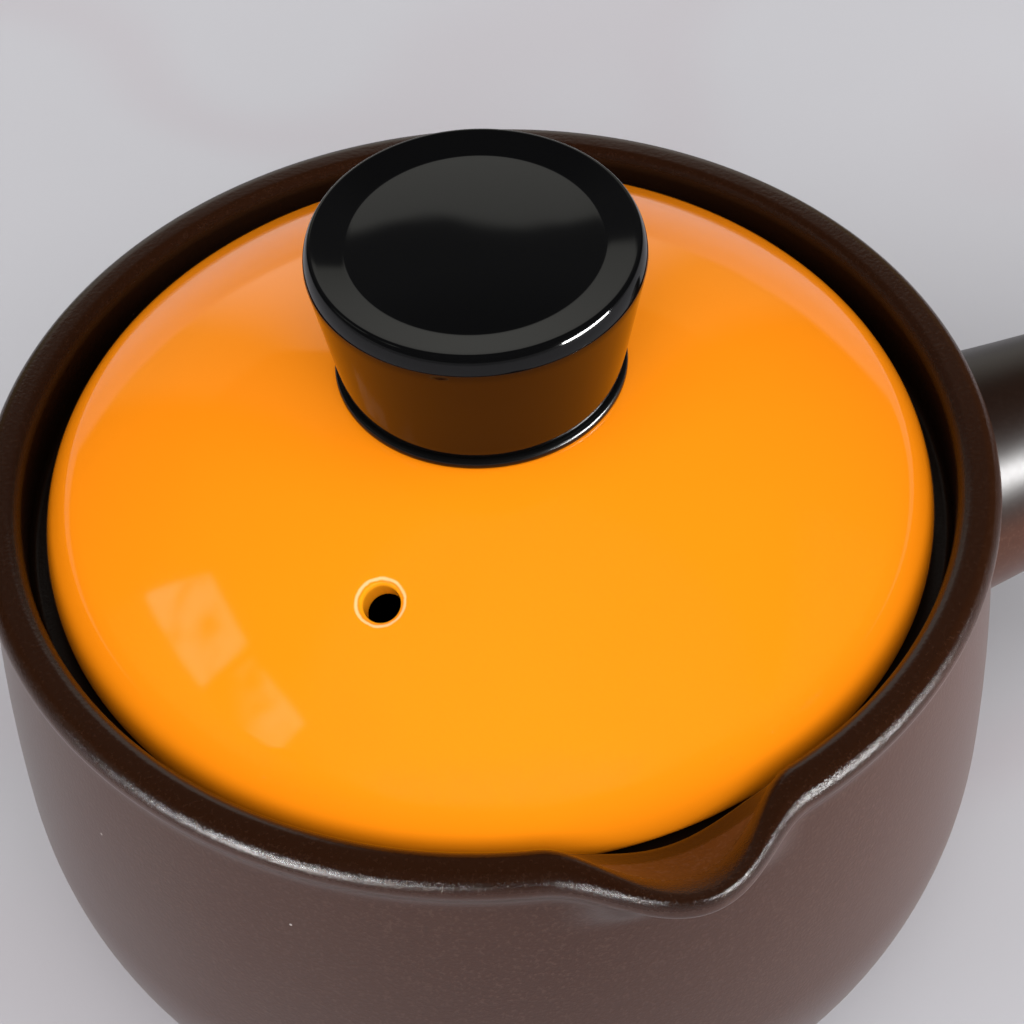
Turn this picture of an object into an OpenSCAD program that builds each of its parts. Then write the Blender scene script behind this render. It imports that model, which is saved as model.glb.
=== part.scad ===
// Ceramic saucepan with a side handle, a pouring spout and a loose domed lid.
// Millimetres. Z is up, the flat foot stands on Z = 0, the handle points along +X, the spout along -Y.

/* [Pot] */
// Height from the table to the top of the lip
pot_height = 98; // [88:0.5:110]
// Diameter of the belly at its widest
belly_diameter = 162.8; // [146:0.2:182]
// Height of the widest part of the belly
belly_height = 46; // [43:0.5:49]
// Radius of the curve from the belly down to the foot
belly_round = 70; // [64:1:76]
// Radius of the corner between the belly and the flat foot
foot_round = 16; // [10:1:22]
// Depth of the neck below the top of the lip
neck_depth = 6.5; // [6:0.25:12]
// Distance of the neck inside the edge of the lip
neck_inset = 1.1; // [0.8:0.1:2]
// Thickness of the side wall
wall = 6; // [5:0.25:7]
// Thickness of the floor
floor_thickness = 7; // [5:0.5:9]
// Radius of the inside corner between the wall and the floor
floor_round = 24; // [16:1:30]
// Width of the lip
lip_width = 6.8; // [6.2:0.1:7.4]
// Radius of the outer edge of the lip
lip_round = 2.6; // [2:0.1:3]
// Radius of the inner edge of the lip
lip_edge_round = 2.4; // [1.6:0.1:2.8]

/* [Lid seat] */
// Depth of the lid's ledge below the top of the lip
ledge_depth = 11.3; // [9.5:0.1:13]
// Height of the upright nose of the ledge
ledge_nose = 3.4; // [3:0.2:5]
// Radius of the edges of the ledge
ledge_round = 1.2; // [0.8:0.1:1.4]
// Height of the slope that carries the ledge
ledge_slope = 9; // [6:0.5:12]

/* [Spout] */
// Reach of the spout beyond the lip
spout_reach = 8.1; // [5:0.1:10]
// Drop of the spout's tip below the lip
spout_drop = 0.5; // [0:0.1:1]
// Angle of the lip that the spout takes up
spout_angle = 30; // [24:1:40]
// Depth below the top of the lip at which the wall starts to swell into the spout
spout_depth = 14; // [11:0.5:30]
// Depth of the spout's channel below the top of the lip, where it leaves the mouth
spout_channel_depth = 6.8; // [5.4:0.1:8]
// Width of the lip at the spout's tip
spout_lip_width = 2.6; // [2:0.1:4]
// Height of the lip's inner edge at the spout's tip
spout_edge_round = 0.5; // [0.3:0.1:1]

/* [Handle] */
// Height at which the handle's axis meets the wall
handle_height = 57.7; // [55:0.1:60]
// Upward tilt of the handle
handle_tilt = 5; // [2:0.5:7]
// Length of the handle from the wall to its tip
handle_length = 112; // [95:1:130]
// Diameter of the handle at its root
handle_root_diameter = 42.6; // [39:0.2:44]
// Diameter of the handle at its waist
handle_waist_diameter = 33.6; // [28:0.2:35]
// Diameter of the swelling near the tip
handle_end_diameter = 35; // [31:0.2:38]
// Flare of the root, from straight at 1 to a strong trumpet at 3
root_flare = 1.6; // [1:0.1:3]
// Distance of the waist from the wall
handle_waist_distance = 60; // [50:1:66]
// Thickness of the handle's shell
handle_wall = 4.5; // [3.5:0.25:5.5]
// Diameter of the firing vent in the tip
handle_vent_diameter = 6; // [4:0.5:8]

/* [Lid] */
// Diameter of the lid
lid_diameter = 140.4; // [126:0.2:155]
// Radius of the lid's dome
dome_round = 110; // [105:0.5:118]
// Radius of the shoulder between the dome and the edge
lid_shoulder_round = 14; // [11:0.25:16]
// Height of the widest part of the edge above the ledge
lid_edge_height = 2.4; // [1.8:0.1:3.2]
// Thickness of the lid
lid_thickness = 5.5; // [4.5:0.25:6.5]
// Distance of the edge outside the skirt that centres the lid
edge_overhang = 6.4; // [5.5:0.1:8]
// Thickness of the skirt
skirt_thickness = 4.6; // [4:0.2:6]
// Depth of the skirt below the ledge
skirt_depth = 4.5; // [4:0.25:7]
// Radius of the skirt's lower edge
skirt_round = 1.8; // [1:0.1:1.9]
// Diameter of the flat land under the knob
land_diameter = 44.8; // [44.4:0.1:46.5]
// Diameter of the flat pad inside the lid
pad_diameter = 24; // [20:1:30]
// Diameter of the steam vent
vent_diameter = 5.5; // [4:0.25:7]
// Width of the eased edge of the steam vent
vent_edge = 1.1; // [0.5:0.1:1.5]
// Distance of the steam vent from the lid's axis
vent_distance = 43.4; // [37:0.2:49]
// Direction of the steam vent round the lid
vent_direction = -130; // [-180:1:180]
// Diameter of the screw hole
screw_hole_diameter = 7; // [6:0.25:8]

/* [Knob] */
// Diameter of the knob over its top edge
knob_diameter = 50; // [47:0.1:54]
// Height of the knob above its seat ring
knob_height = 23.9; // [22:0.1:28]
// Diameter of the knob at its foot
knob_foot_diameter = 42.6; // [41.6:0.1:43.4]
// Height of the knob's rounded top edge
knob_edge_height = 3.2; // [2.4:0.1:4]
// Width of the knob's rounded top edge
knob_edge_width = 1; // [0.6:0.1:1.6]
// Diameter of the groove round the knob's domed top
groove_diameter = 37.8; // [34:0.2:40]
// Depth of the groove
groove_depth = 1; // [0.6:0.1:1.4]
// Thickness of the knob's side at its foot
knob_shell = 3.6; // [3:0.1:4.2]
// Thickness of the knob's top under the groove
knob_top = 4; // [3:0.1:5]
// Diameter of the boss inside the knob
boss_diameter = 16; // [14:0.5:18]
// Diameter of the seat ring
ring_diameter = 44.1; // [43.6:0.1:44.3]
// Thickness of the seat ring
ring_thickness = 1.5; // [1:0.1:2]
// Width of the seat ring
ring_width = 5.5; // [4.5:0.25:7]

/* [Screw] */
// Diameter of the screw's shank
screw_diameter = 5; // [4:0.5:5]
// Length of the screw's shank
screw_length = 18; // [17:0.5:19]
// Diameter of the screw's head
head_diameter = 9.6; // [8.4:0.2:11]
// Height of the screw's head
head_height = 3.2; // [2.6:0.1:4]
// Width of the cross recess
recess_width = 1.2; // [0.8:0.1:1.4]
// Length of the cross recess
recess_length = 5.6; // [4:0.2:6]
// Depth of the cross recess
recess_depth = 1.8; // [1:0.1:2]
// Diameter of the steel washer
washer_diameter = 14; // [12:0.5:16]
// Thickness of the steel washer
washer_thickness = 1; // [0.8:0.1:1.5]
// Diameter of the silicone gasket
gasket_diameter = 18; // [16:0.5:19]
// Thickness of the silicone gasket
gasket_thickness = 1.5; // [1:0.1:2]
// Diameter of the threaded insert
insert_diameter = 8.6; // [7:0.2:10]
// Length of the threaded insert
insert_length = 11; // [9:0.5:12]
// Diameter of the insert's flange
flange_diameter = 11; // [10.4:0.2:12]
// Thickness of the insert's flange
flange_thickness = 1; // [0.8:0.1:1.5]

/* [Clearances] */
// Gap between the edge of the lid and the lip
lid_gap = 3; // [2:0.1:5]
// Gap between the skirt and the ledge
skirt_gap = 1.2; // [0.5:0.1:2]
// Gap round the screw in the insert and the washer
screw_gap = 0.05; // [0.02:0.01:0.1]
// Gap round the insert in the boss
insert_gap = 0.02; // [0.01:0.01:0.05]
// Gap between the boss and the lid
boss_gap = 1; // [0.5:0.1:1.5]
// Gap between the end of the screw and the bottom of its hole
screw_end_gap = 1; // [0.5:0.1:2]

/* [Hidden] */
$fn = 96;
corner_steps = 4;
curve_steps = 9;
spout_steps = 20;
plain_steps = 46;
root_overlap = 7;
lip_turn = 35;
channel_strip = 0.6;

clay_brown = [0.22, 0.17, 0.15];
glaze_orange = [0.98, 0.55, 0.05];
knob_black = [0.05, 0.05, 0.06];
steel_grey = [0.72, 0.72, 0.74];
brass_yellow = [0.80, 0.65, 0.30];
silicone_white = [0.85, 0.85, 0.83];

// Points along a circular arc.
function arc(centre, radius, start, end, steps) =
    [for (i = [0 : steps])
        let (a = start + (end - start) * i / steps)
        [centre[0] + radius * cos(a), centre[1] + radius * sin(a)]];

// The same points without the first, to carry on from a curve that ends there.
function carried_on(points) = [for (i = [1 : len(points) - 1]) points[i]];

// Direction from one point to another.
function heading(from, to) = atan2(to[1] - from[1], to[0] - from[0]);

// Points along a bend from one point to another that leaves and arrives in line with the corner between them.
function bend(from, corner, to, steps) =
    [for (i = [0 : steps])
        let (t = i / steps)
        (1 - t) * (1 - t) * from + 2 * t * (1 - t) * corner + t * t * to];

// Soft step from 0 to 1.
function soft_step(t) = let (u = min(max(t, 0), 1)) u * u * (3 - 2 * u);

// Pot section.
lid_radius = lid_diameter / 2;
skirt_radius = lid_radius - edge_overhang;
ledge_radius = skirt_radius + skirt_gap;
gallery_radius = lid_radius + lid_gap;
mouth_radius = gallery_radius + lip_width;
belly_radius = belly_diameter / 2;
neck = [mouth_radius - neck_inset, pot_height - neck_depth];
ledge_top = pot_height - ledge_depth;
ledge_corner = ledge_top + ledge_round;
edge_foot = pot_height - lip_edge_round;
channel_foot = pot_height - spout_channel_depth;
spout_start = pot_height - spout_depth;
lower_centre = [belly_radius - belly_round, belly_height];
lip_centre = [mouth_radius - lip_round, pot_height - lip_round];
edge_centre = [gallery_radius + lip_edge_round, edge_foot];
lip_start = lip_centre + lip_round * [cos(lip_turn), -sin(lip_turn)];
neck_corner = [neck[0], lip_start[1] - (lip_start[0] - neck[0]) / tan(lip_turn)];
foot_reach = belly_round - foot_round;
foot_rise = belly_height - foot_round;
foot_centre = [lower_centre[0] + sqrt(foot_reach * foot_reach - foot_rise * foot_rise), foot_round];
floor_reach = belly_round - wall - floor_round;
floor_rise = belly_height - floor_thickness - floor_round;
floor_centre = [lower_centre[0] + sqrt(floor_reach * floor_reach - floor_rise * floor_rise),
    floor_thickness + floor_round];
slope_foot = ledge_top - ledge_nose - ledge_slope;

// Outer radius of the wall at a height between the belly and the neck.
function wall_radius(height) =
    belly_radius + (neck[0] - belly_radius) * pow((height - belly_height) / (neck[1] - belly_height), 2);

// Points up or down the wall between two heights.
function wall_side(first, last, inset) =
    [for (i = [0 : curve_steps])
        let (height = first + (last - first) * i / curve_steps)
        [wall_radius(height) - inset, height]];

outer_low = concat(
    arc(foot_centre, foot_round, -90, heading(lower_centre, foot_centre), corner_steps),
    carried_on(arc(lower_centre, belly_round, heading(lower_centre, foot_centre), 0, curve_steps)));

outer_high = concat(
    carried_on(wall_side(belly_height, neck[1], 0)),
    carried_on(bend(neck, neck_corner, lip_start, corner_steps)),
    carried_on(arc(lip_centre, lip_round, -lip_turn, 0, corner_steps)));

lip_top = concat(
    carried_on(arc(lip_centre, lip_round, 0, 90, 2 * corner_steps)),
    arc(edge_centre, lip_edge_round, 90, 180, corner_steps));

// The strip at the top of the gallery that spreads out into the spout's channel.
gallery = [for (i = [1 : corner_steps])
    [gallery_radius, edge_foot - channel_strip * i / corner_steps]];

ledge = concat(
    arc([gallery_radius - ledge_round, ledge_corner], ledge_round, 0, -90, corner_steps),
    arc([ledge_radius + ledge_round, ledge_top - ledge_round], ledge_round, 90, 180, corner_steps),
    [[ledge_radius, ledge_top - ledge_nose]]);

inner_low = concat(
    wall_side(slope_foot, belly_height, wall),
    carried_on(arc(lower_centre, belly_round - wall, 0, heading(lower_centre, floor_centre), curve_steps)),
    carried_on(arc(floor_centre, floor_round, heading(lower_centre, floor_centre), -90, corner_steps)));

// Share of the spout's reach that the outside has at a height.
function spout_share(height) = soft_step((height - spout_start) / (lip_centre[1] - spout_start));

// Where the outside, the lip and the top of the gallery lie at the middle of the spout.
inner_reach = spout_reach + lip_width - spout_lip_width;
spout_edge_foot = pot_height - spout_edge_round - spout_drop;

function outside_at_spout(point) =
    let (share = spout_share(point[1]))
    [point[0] + spout_reach * share, point[1] - spout_drop * share];

function lip_at_spout(point) =
    [point[0] + spout_reach + (inner_reach - spout_reach) * (mouth_radius - point[0]) / lip_width,
     pot_height - spout_drop - (pot_height - point[1])
        * (point[0] > edge_centre[0] ? 1 : spout_edge_round / lip_edge_round)];

function gallery_at_spout(point) =
    let (rise = 1 - (edge_foot - point[1]) / channel_strip)
    [point[0] + inner_reach * rise, channel_foot + (spout_edge_foot - channel_foot) * rise];

// Swell of the spout at an angle from its middle, from 1 at the middle to 0 at its ends.
function spout_swell(angle) = abs(angle) >= spout_angle / 2 ? 0 : (1 + cos(360 * angle / spout_angle)) / 2;

plain_section = concat(outer_low, outer_high, lip_top, gallery, ledge, inner_low);
spout_section = concat(
    outer_low,
    [for (point = outer_high) outside_at_spout(point)],
    [for (point = lip_top) lip_at_spout(point)],
    [for (point = gallery) gallery_at_spout(point)],
    ledge,
    inner_low);

// Angles from the middle of the spout, close together across the spout and wider round the rest.
wall_angles = concat(
    [for (j = [0 : spout_steps - 1]) spout_angle * (j / spout_steps - 0.5)],
    [for (j = [0 : plain_steps - 1]) spout_angle / 2 + (360 - spout_angle) * j / plain_steps]);

module pot_body() {
    count = len(plain_section);
    turns = len(wall_angles);
    points = [for (angle = wall_angles)
        let (swell = spout_swell(angle))
        for (i = [0 : count - 1])
            let (point = plain_section[i] + swell * (spout_section[i] - plain_section[i]))
            [point[0] * cos(angle), point[0] * sin(angle), point[1]]];
    sides = [for (j = [0 : turns - 1], i = [0 : count - 2])
        let (row = j * count, beside = ((j + 1) % turns) * count)
        each [[row + i, row + i + 1, beside + i + 1], [row + i, beside + i + 1, beside + i]]];
    foot = [[for (j = [0 : turns - 1]) j * count]];
    floor_inside = [[for (j = [turns - 1 : -1 : 0]) j * count + count - 1]];
    color(clay_brown)
    rotate([0, 0, -90])
    polyhedron(points = points, faces = concat(foot, floor_inside, sides), convexity = 8);
}

// The space that the pot's outside takes up, without the spout.
module pot_outside() {
    rotate_extrude()
    polygon(concat([[0, 0]], outer_low, outer_high, [[0, lip_centre[1]]]));
}

// Handle section, along the handle's own axis.
root_radius = handle_root_diameter / 2;
waist_radius = handle_waist_diameter / 2;
end_radius = handle_end_diameter / 2;
handle_vent_radius = handle_vent_diameter / 2;
wall_at_handle = wall_radius(handle_height);
end_distance = handle_length - end_radius;

// Outer radius of the handle at a distance from the wall.
function handle_radius(distance) =
    distance < handle_waist_distance
    ? waist_radius + (root_radius - waist_radius) * pow(1 - distance / handle_waist_distance, root_flare)
    : waist_radius + (end_radius - waist_radius)
        * soft_step((distance - handle_waist_distance) / (end_distance - handle_waist_distance));

function handle_side(first, last, inset) =
    [for (i = [0 : 2 * curve_steps])
        let (distance = first + (last - first) * i / (2 * curve_steps))
        [handle_radius(distance) - inset, distance]];

// Places a shape with its Z axis along the handle, from the wall outwards.
module on_handle_axis() {
    translate([wall_at_handle, 0, handle_height])
    rotate([0, 90 - handle_tilt, 0])
    children();
}

module handle() {
    inner_end = end_radius - handle_wall;
    color(clay_brown)
    difference() {
        on_handle_axis()
        rotate_extrude()
        polygon(concat(
            handle_side(-root_overlap, end_distance, 0),
            carried_on(arc([0, end_distance], end_radius, 0, acos(handle_vent_radius / end_radius),
                curve_steps)),
            arc([0, end_distance], inner_end, acos(handle_vent_radius / inner_end), 0, curve_steps),
            carried_on(handle_side(end_distance, -root_overlap, handle_wall))));
        pot_outside();
    }
}

// Lid section.
land_radius = land_diameter / 2;
pad_radius = pad_diameter / 2;
vent_radius = vent_diameter / 2;
shoulder_centre = [lid_radius - lid_shoulder_round, ledge_top + lid_edge_height];
dome_reach = dome_round - lid_shoulder_round;
dome_centre = [0, shoulder_centre[1] - sqrt(dome_reach * dome_reach - pow(shoulder_centre[0], 2))];
land_top = dome_centre[1] + sqrt(dome_round * dome_round - land_radius * land_radius);
pad_bottom = land_top - lid_thickness;
inner_dome_round = dome_round - lid_thickness;
skirt_bottom = ledge_top - skirt_depth;
skirt_inner_radius = skirt_radius - skirt_thickness;
vent_tilt = asin(vent_distance / dome_round);

module lid() {
    color(glaze_orange)
    difference() {
        rotate_extrude()
        polygon(concat(
            [[0, land_top]],
            arc(dome_centre, dome_round, acos(land_radius / dome_round),
                heading(dome_centre, shoulder_centre), 2 * curve_steps),
            carried_on(arc(shoulder_centre, lid_shoulder_round, heading(dome_centre, shoulder_centre), 0,
                curve_steps)),
            carried_on(arc([lid_radius - lid_edge_height, ledge_top + lid_edge_height], lid_edge_height,
                0, -90, corner_steps)),
            [[skirt_radius, ledge_top]],
            arc([skirt_radius - skirt_round, skirt_bottom + skirt_round], skirt_round, 0, -90, corner_steps),
            arc([skirt_inner_radius + skirt_round, skirt_bottom + skirt_round], skirt_round, -90, -180,
                corner_steps),
            arc(dome_centre, inner_dome_round, acos(skirt_inner_radius / inner_dome_round),
                acos(pad_radius / inner_dome_round), 2 * curve_steps),
            [[pad_radius, pad_bottom], [0, pad_bottom]]));
        translate([0, 0, pad_bottom - lid_thickness])
        cylinder(d = screw_hole_diameter, h = 3 * lid_thickness);
        steam_vent();
    }
}

// The steam vent, square to the dome, with an eased outer edge.
module steam_vent() {
    rotate([0, 0, vent_direction])
    translate([0, 0, dome_centre[1]])
    rotate([0, vent_tilt, 0]) {
        translate([0, 0, inner_dome_round - lid_thickness])
        cylinder(r = vent_radius, h = 3 * lid_thickness);
        translate([0, 0, dome_round - vent_edge])
        cylinder(r1 = vent_radius, r2 = vent_radius + 2 * vent_edge, h = 2 * vent_edge);
    }
}

// Heights of the pieces stacked on the lid's land and under its pad.
ring_top = land_top + ring_thickness;
knob_top_height = ring_top + knob_height;
boss_bottom = land_top + boss_gap;
gasket_bottom = pad_bottom - gasket_thickness;
washer_bottom = gasket_bottom - washer_thickness;
screw_end = washer_bottom + screw_length;
insert_bottom = boss_bottom;

module knob_seat_ring() {
    color(knob_black)
    translate([0, 0, land_top])
    difference() {
        cylinder(d = ring_diameter, h = ring_thickness);
        translate([0, 0, -ring_thickness])
        cylinder(d = ring_diameter - 2 * ring_width, h = 3 * ring_thickness);
    }
}

module knob() {
    top_radius = knob_diameter / 2;
    foot_radius = knob_foot_diameter / 2;
    groove_radius = groove_diameter / 2;
    dome_radius = (groove_radius * groove_radius + groove_depth * groove_depth) / (2 * groove_depth);
    hollow_top = knob_top_height - groove_depth - knob_top;
    color(knob_black)
    difference() {
        rotate_extrude()
        polygon(concat(
            [[foot_radius, ring_top]],
            bend([top_radius, knob_top_height - knob_edge_height],
                [top_radius, knob_top_height - 0.4 * knob_edge_height],
                [top_radius - knob_edge_width, knob_top_height], corner_steps),
            arc([0, knob_top_height - dome_radius], dome_radius, acos(groove_radius / dome_radius), 90,
                curve_steps),
            [[0, boss_bottom],
             [boss_diameter / 2, boss_bottom],
             [boss_diameter / 2, hollow_top],
             [foot_radius - knob_shell, hollow_top],
             [foot_radius - knob_shell, ring_top]]));
        translate([0, 0, boss_bottom - flange_thickness])
        cylinder(d = flange_diameter + 2 * insert_gap, h = 2 * flange_thickness);
        translate([0, 0, boss_bottom])
        cylinder(d = insert_diameter + 2 * insert_gap, h = insert_length);
        translate([0, 0, boss_bottom])
        cylinder(d = screw_diameter + 2 * screw_gap, h = screw_end - boss_bottom + screw_end_gap);
    }
}

module knob_insert() {
    color(brass_yellow)
    translate([0, 0, insert_bottom])
    difference() {
        union() {
            cylinder(d = flange_diameter, h = flange_thickness);
            cylinder(d = insert_diameter, h = insert_length);
        }
        translate([0, 0, -flange_thickness])
        cylinder(d = screw_diameter + 2 * screw_gap, h = insert_length + 2 * flange_thickness);
    }
}

module knob_screw() {
    color(steel_grey)
    difference() {
        union() {
            translate([0, 0, washer_bottom])
            cylinder(d = screw_diameter, h = screw_length);
            translate([0, 0, washer_bottom])
            rotate([180, 0, 0])
            rotate_extrude()
            polygon(concat(
                [[0, 0], [head_diameter / 2, 0]],
                arc([head_diameter / 2 - head_height / 2, head_height / 2], head_height / 2, 0, 90,
                    corner_steps),
                [[0, head_height]]));
        }
        translate([0, 0, washer_bottom - head_height])
        for (turn = [0, 90])
            rotate([0, 0, turn])
            cube([recess_length, recess_width, 2 * recess_depth], center = true);
    }
}

module screw_washer() {
    color(steel_grey)
    translate([0, 0, washer_bottom])
    difference() {
        cylinder(d = washer_diameter, h = washer_thickness);
        translate([0, 0, -washer_thickness])
        cylinder(d = screw_diameter + 2 * screw_gap, h = 3 * washer_thickness);
    }
}

module screw_gasket() {
    color(silicone_white)
    translate([0, 0, gasket_bottom])
    difference() {
        cylinder(d = gasket_diameter, h = gasket_thickness);
        translate([0, 0, -gasket_thickness])
        cylinder(d = screw_diameter + 2 * screw_gap, h = 3 * gasket_thickness);
    }
}

pot_body();
handle();
lid();
knob_seat_ring();
knob();
knob_insert();
knob_screw();
screw_washer();
screw_gasket();
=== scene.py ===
"""Ceramic saucepan: its looks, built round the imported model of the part.

Sizes are in millimetres, as in the part's source, and meshes are in metres.
The pot stands on Z = 0, the handle points along +X and the spout along -Y.
"""

import math

import bpy
import numpy as np
from mathutils import Matrix, Vector


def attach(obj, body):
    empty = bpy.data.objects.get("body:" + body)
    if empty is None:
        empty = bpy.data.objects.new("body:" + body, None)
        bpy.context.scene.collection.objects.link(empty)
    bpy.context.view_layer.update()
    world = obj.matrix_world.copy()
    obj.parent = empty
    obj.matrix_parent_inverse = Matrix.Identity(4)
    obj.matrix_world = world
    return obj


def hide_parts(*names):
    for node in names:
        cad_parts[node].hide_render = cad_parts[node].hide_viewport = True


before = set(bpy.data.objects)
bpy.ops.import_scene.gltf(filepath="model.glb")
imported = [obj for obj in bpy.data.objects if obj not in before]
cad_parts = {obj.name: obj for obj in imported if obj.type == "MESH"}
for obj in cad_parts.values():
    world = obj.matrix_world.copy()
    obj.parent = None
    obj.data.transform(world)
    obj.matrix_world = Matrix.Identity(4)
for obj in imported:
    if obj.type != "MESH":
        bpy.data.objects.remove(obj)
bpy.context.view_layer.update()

MM = 0.001

# Pot sizes
LID_RADIUS = 70.2
LID_GAP = 3.0
LIP_WIDTH = 6.8
LIP_ROUND = 2.6
LIP_EDGE_ROUND = 2.4
LIP_TURN = 35.0
POT_HEIGHT = 98.0
BELLY_RADIUS = 81.4
BELLY_HEIGHT = 46.0
BELLY_ROUND = 70.0
FOOT_ROUND = 16.0
NECK_DEPTH = 6.5
NECK_INSET = 1.1
WALL = 6.0
FLOOR = 7.0
FLOOR_ROUND = 24.0
LEDGE_DEPTH = 11.3
LEDGE_NOSE = 3.4
LEDGE_ROUND = 1.2
LEDGE_SLOPE = 9.0
EDGE_OVERHANG = 6.4
SKIRT_GAP = 1.2
SPOUT_REACH = 8.1
SPOUT_DROP = 0.5
SPOUT_ANGLE = 30.0
SPOUT_DEPTH = 14.0
SPOUT_CHANNEL_DEPTH = 6.8
SPOUT_LIP_WIDTH = 2.6

GALLERY_RADIUS = LID_RADIUS + LID_GAP
MOUTH_RADIUS = GALLERY_RADIUS + LIP_WIDTH
SKIRT_RADIUS = LID_RADIUS - EDGE_OVERHANG
LEDGE_RADIUS = SKIRT_RADIUS + SKIRT_GAP
LEDGE_TOP = POT_HEIGHT - LEDGE_DEPTH
LEDGE_CORNER = LEDGE_TOP + LEDGE_ROUND
EDGE_FOOT = POT_HEIGHT - LIP_EDGE_ROUND
CHANNEL_FOOT = POT_HEIGHT - SPOUT_CHANNEL_DEPTH
SPOUT_START = POT_HEIGHT - SPOUT_DEPTH
LIP_CENTRE = np.array([MOUTH_RADIUS - LIP_ROUND, POT_HEIGHT - LIP_ROUND])
NECK = np.array([MOUTH_RADIUS - NECK_INSET, POT_HEIGHT - NECK_DEPTH])
LOWER_CENTRE = np.array([BELLY_RADIUS - BELLY_ROUND, BELLY_HEIGHT])

# Handle sizes
HANDLE_HEIGHT = 57.7
HANDLE_TILT = math.radians(5.0)
HANDLE_LENGTH = 112.0
ROOT_RADIUS = 21.3
WAIST_RADIUS = 16.8
END_RADIUS = 17.5
ROOT_FLARE = 1.6
WAIST_DISTANCE = 60.0
HANDLE_WALL = 4.5
HANDLE_VENT_RADIUS = 3.0
LUTING = 4.0

# Lid sizes
DOME_ROUND = 110.0
LID_SHOULDER_ROUND = 14.0
LID_EDGE_HEIGHT = 2.4
LID_THICKNESS = 5.5
SKIRT_THICKNESS = 4.6
SKIRT_DEPTH = 4.5
SKIRT_ROUND = 1.8
LAND_RADIUS = 22.4
PAD_RADIUS = 12.0
VENT_RADIUS = 2.75
VENT_EASE = 1.3
VENT_DISTANCE = 43.4
VENT_DIRECTION = math.radians(-130.0)

SHOULDER_CENTRE = np.array([LID_RADIUS - LID_SHOULDER_ROUND, LEDGE_TOP + LID_EDGE_HEIGHT])
DOME_REACH = DOME_ROUND - LID_SHOULDER_ROUND
DOME_CENTRE = SHOULDER_CENTRE[1] - math.sqrt(DOME_REACH ** 2 - SHOULDER_CENTRE[0] ** 2)
DOME_ANGLE = math.asin(SHOULDER_CENTRE[0] / DOME_REACH)
INNER_DOME_ROUND = DOME_ROUND - LID_THICKNESS
LAND_TOP = DOME_CENTRE + math.sqrt(DOME_ROUND ** 2 - LAND_RADIUS ** 2)
PAD_BOTTOM = LAND_TOP - LID_THICKNESS
VENT_TILT = math.asin(VENT_DISTANCE / DOME_ROUND)
VENT_AXIS = np.array([
    math.sin(VENT_TILT) * math.cos(VENT_DIRECTION),
    math.sin(VENT_TILT) * math.sin(VENT_DIRECTION),
    math.cos(VENT_TILT)])

# Knob and fastening sizes
RING_RADIUS = 22.05
RING_THICKNESS = 1.5
RING_WIDTH = 5.5
RING_TOP = LAND_TOP + RING_THICKNESS
KNOB_RADIUS = 25.0
KNOB_FOOT_RADIUS = 21.3
KNOB_TOP = RING_TOP + 23.9
KNOB_EDGE_HEIGHT = 3.2
KNOB_EDGE_WIDTH = 1.0
KNOB_SHELL = 3.6
KNOB_CROWN = 4.0
GROOVE_RADIUS = 18.9
GROOVE_DEPTH = 1.0
BOSS_RADIUS = 8.0
BOSS_BOTTOM = LAND_TOP + 1.0
SCREW_RADIUS = 2.5
SCREW_GAP = 0.05
SCREW_HOLE = SCREW_RADIUS + SCREW_GAP
INSERT_RADIUS = 4.3
INSERT_GAP = 0.02
INSERT_TOP = BOSS_BOTTOM + 11.0
FLANGE_RADIUS = 5.5
FLANGE_TOP = BOSS_BOTTOM + 1.0
GASKET_RADIUS = 9.0
GASKET_BOTTOM = PAD_BOTTOM - 1.5
WASHER_RADIUS = 7.0
WASHER_BOTTOM = GASKET_BOTTOM - 1.0
SCREW_END = WASHER_BOTTOM + 18.0
HEAD_RADIUS = 4.8
HEAD_HEIGHT = 3.2
RECESS_WIDTH = 1.2
RECESS_LENGTH = 5.6
RECESS_DEPTH = 1.8


# Curves and surfaces

def arc(centre, radius, start, end, steps):
    """Points on a circle about centre, from one angle in degrees to another."""
    angle = np.radians(np.linspace(start, end, steps + 1))
    return np.stack([centre[0] + radius * np.cos(angle), centre[1] + radius * np.sin(angle)], 1)


def line(start, end, steps):
    """Evenly spaced points from start to end."""
    share = np.linspace(0, 1, steps + 1)[:, None]
    return (1 - share) * np.asarray(start, float) + share * np.asarray(end, float)


def bend(start, corner, end, steps):
    """Quadratic curve from start to end, in line with the corner at both ends; one for each row of points."""
    share = np.linspace(0, 1, steps + 1)[:, None]
    start, corner, end = (np.asarray(p, float)[..., None, :] for p in (start, corner, end))
    return (1 - share) ** 2 * start + 2 * share * (1 - share) * corner + share ** 2 * end


def eased(corners, setbacks, steps=5):
    """Polyline through the corners, each inner corner replaced by a bend that starts its setback away."""
    corners = np.asarray(corners, float)
    runs = [corners[:1]]
    for before, here, after, setback in zip(corners, corners[1:], corners[2:], setbacks):
        back = (before - here) / np.linalg.norm(before - here)
        on = (after - here) / np.linalg.norm(after - here)
        runs.append(bend(here + setback * back, here, here + setback * on, steps))
    return np.concatenate(runs + [corners[-1:]])


def soft_step(value):
    """Cubic step from 0 to 1, level at both ends."""
    share = np.clip(value, 0, 1)
    return share * share * (3 - 2 * share)


def turned(profile, count):
    """Profile of radius and height carried round the Z axis."""
    angle = np.linspace(0, 2 * np.pi, count, endpoint=False)[:, None]
    radius, height = profile[None, :, 0], profile[None, :, 1] + 0 * angle
    return np.stack([radius * np.cos(angle), radius * np.sin(angle), height], -1)


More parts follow.
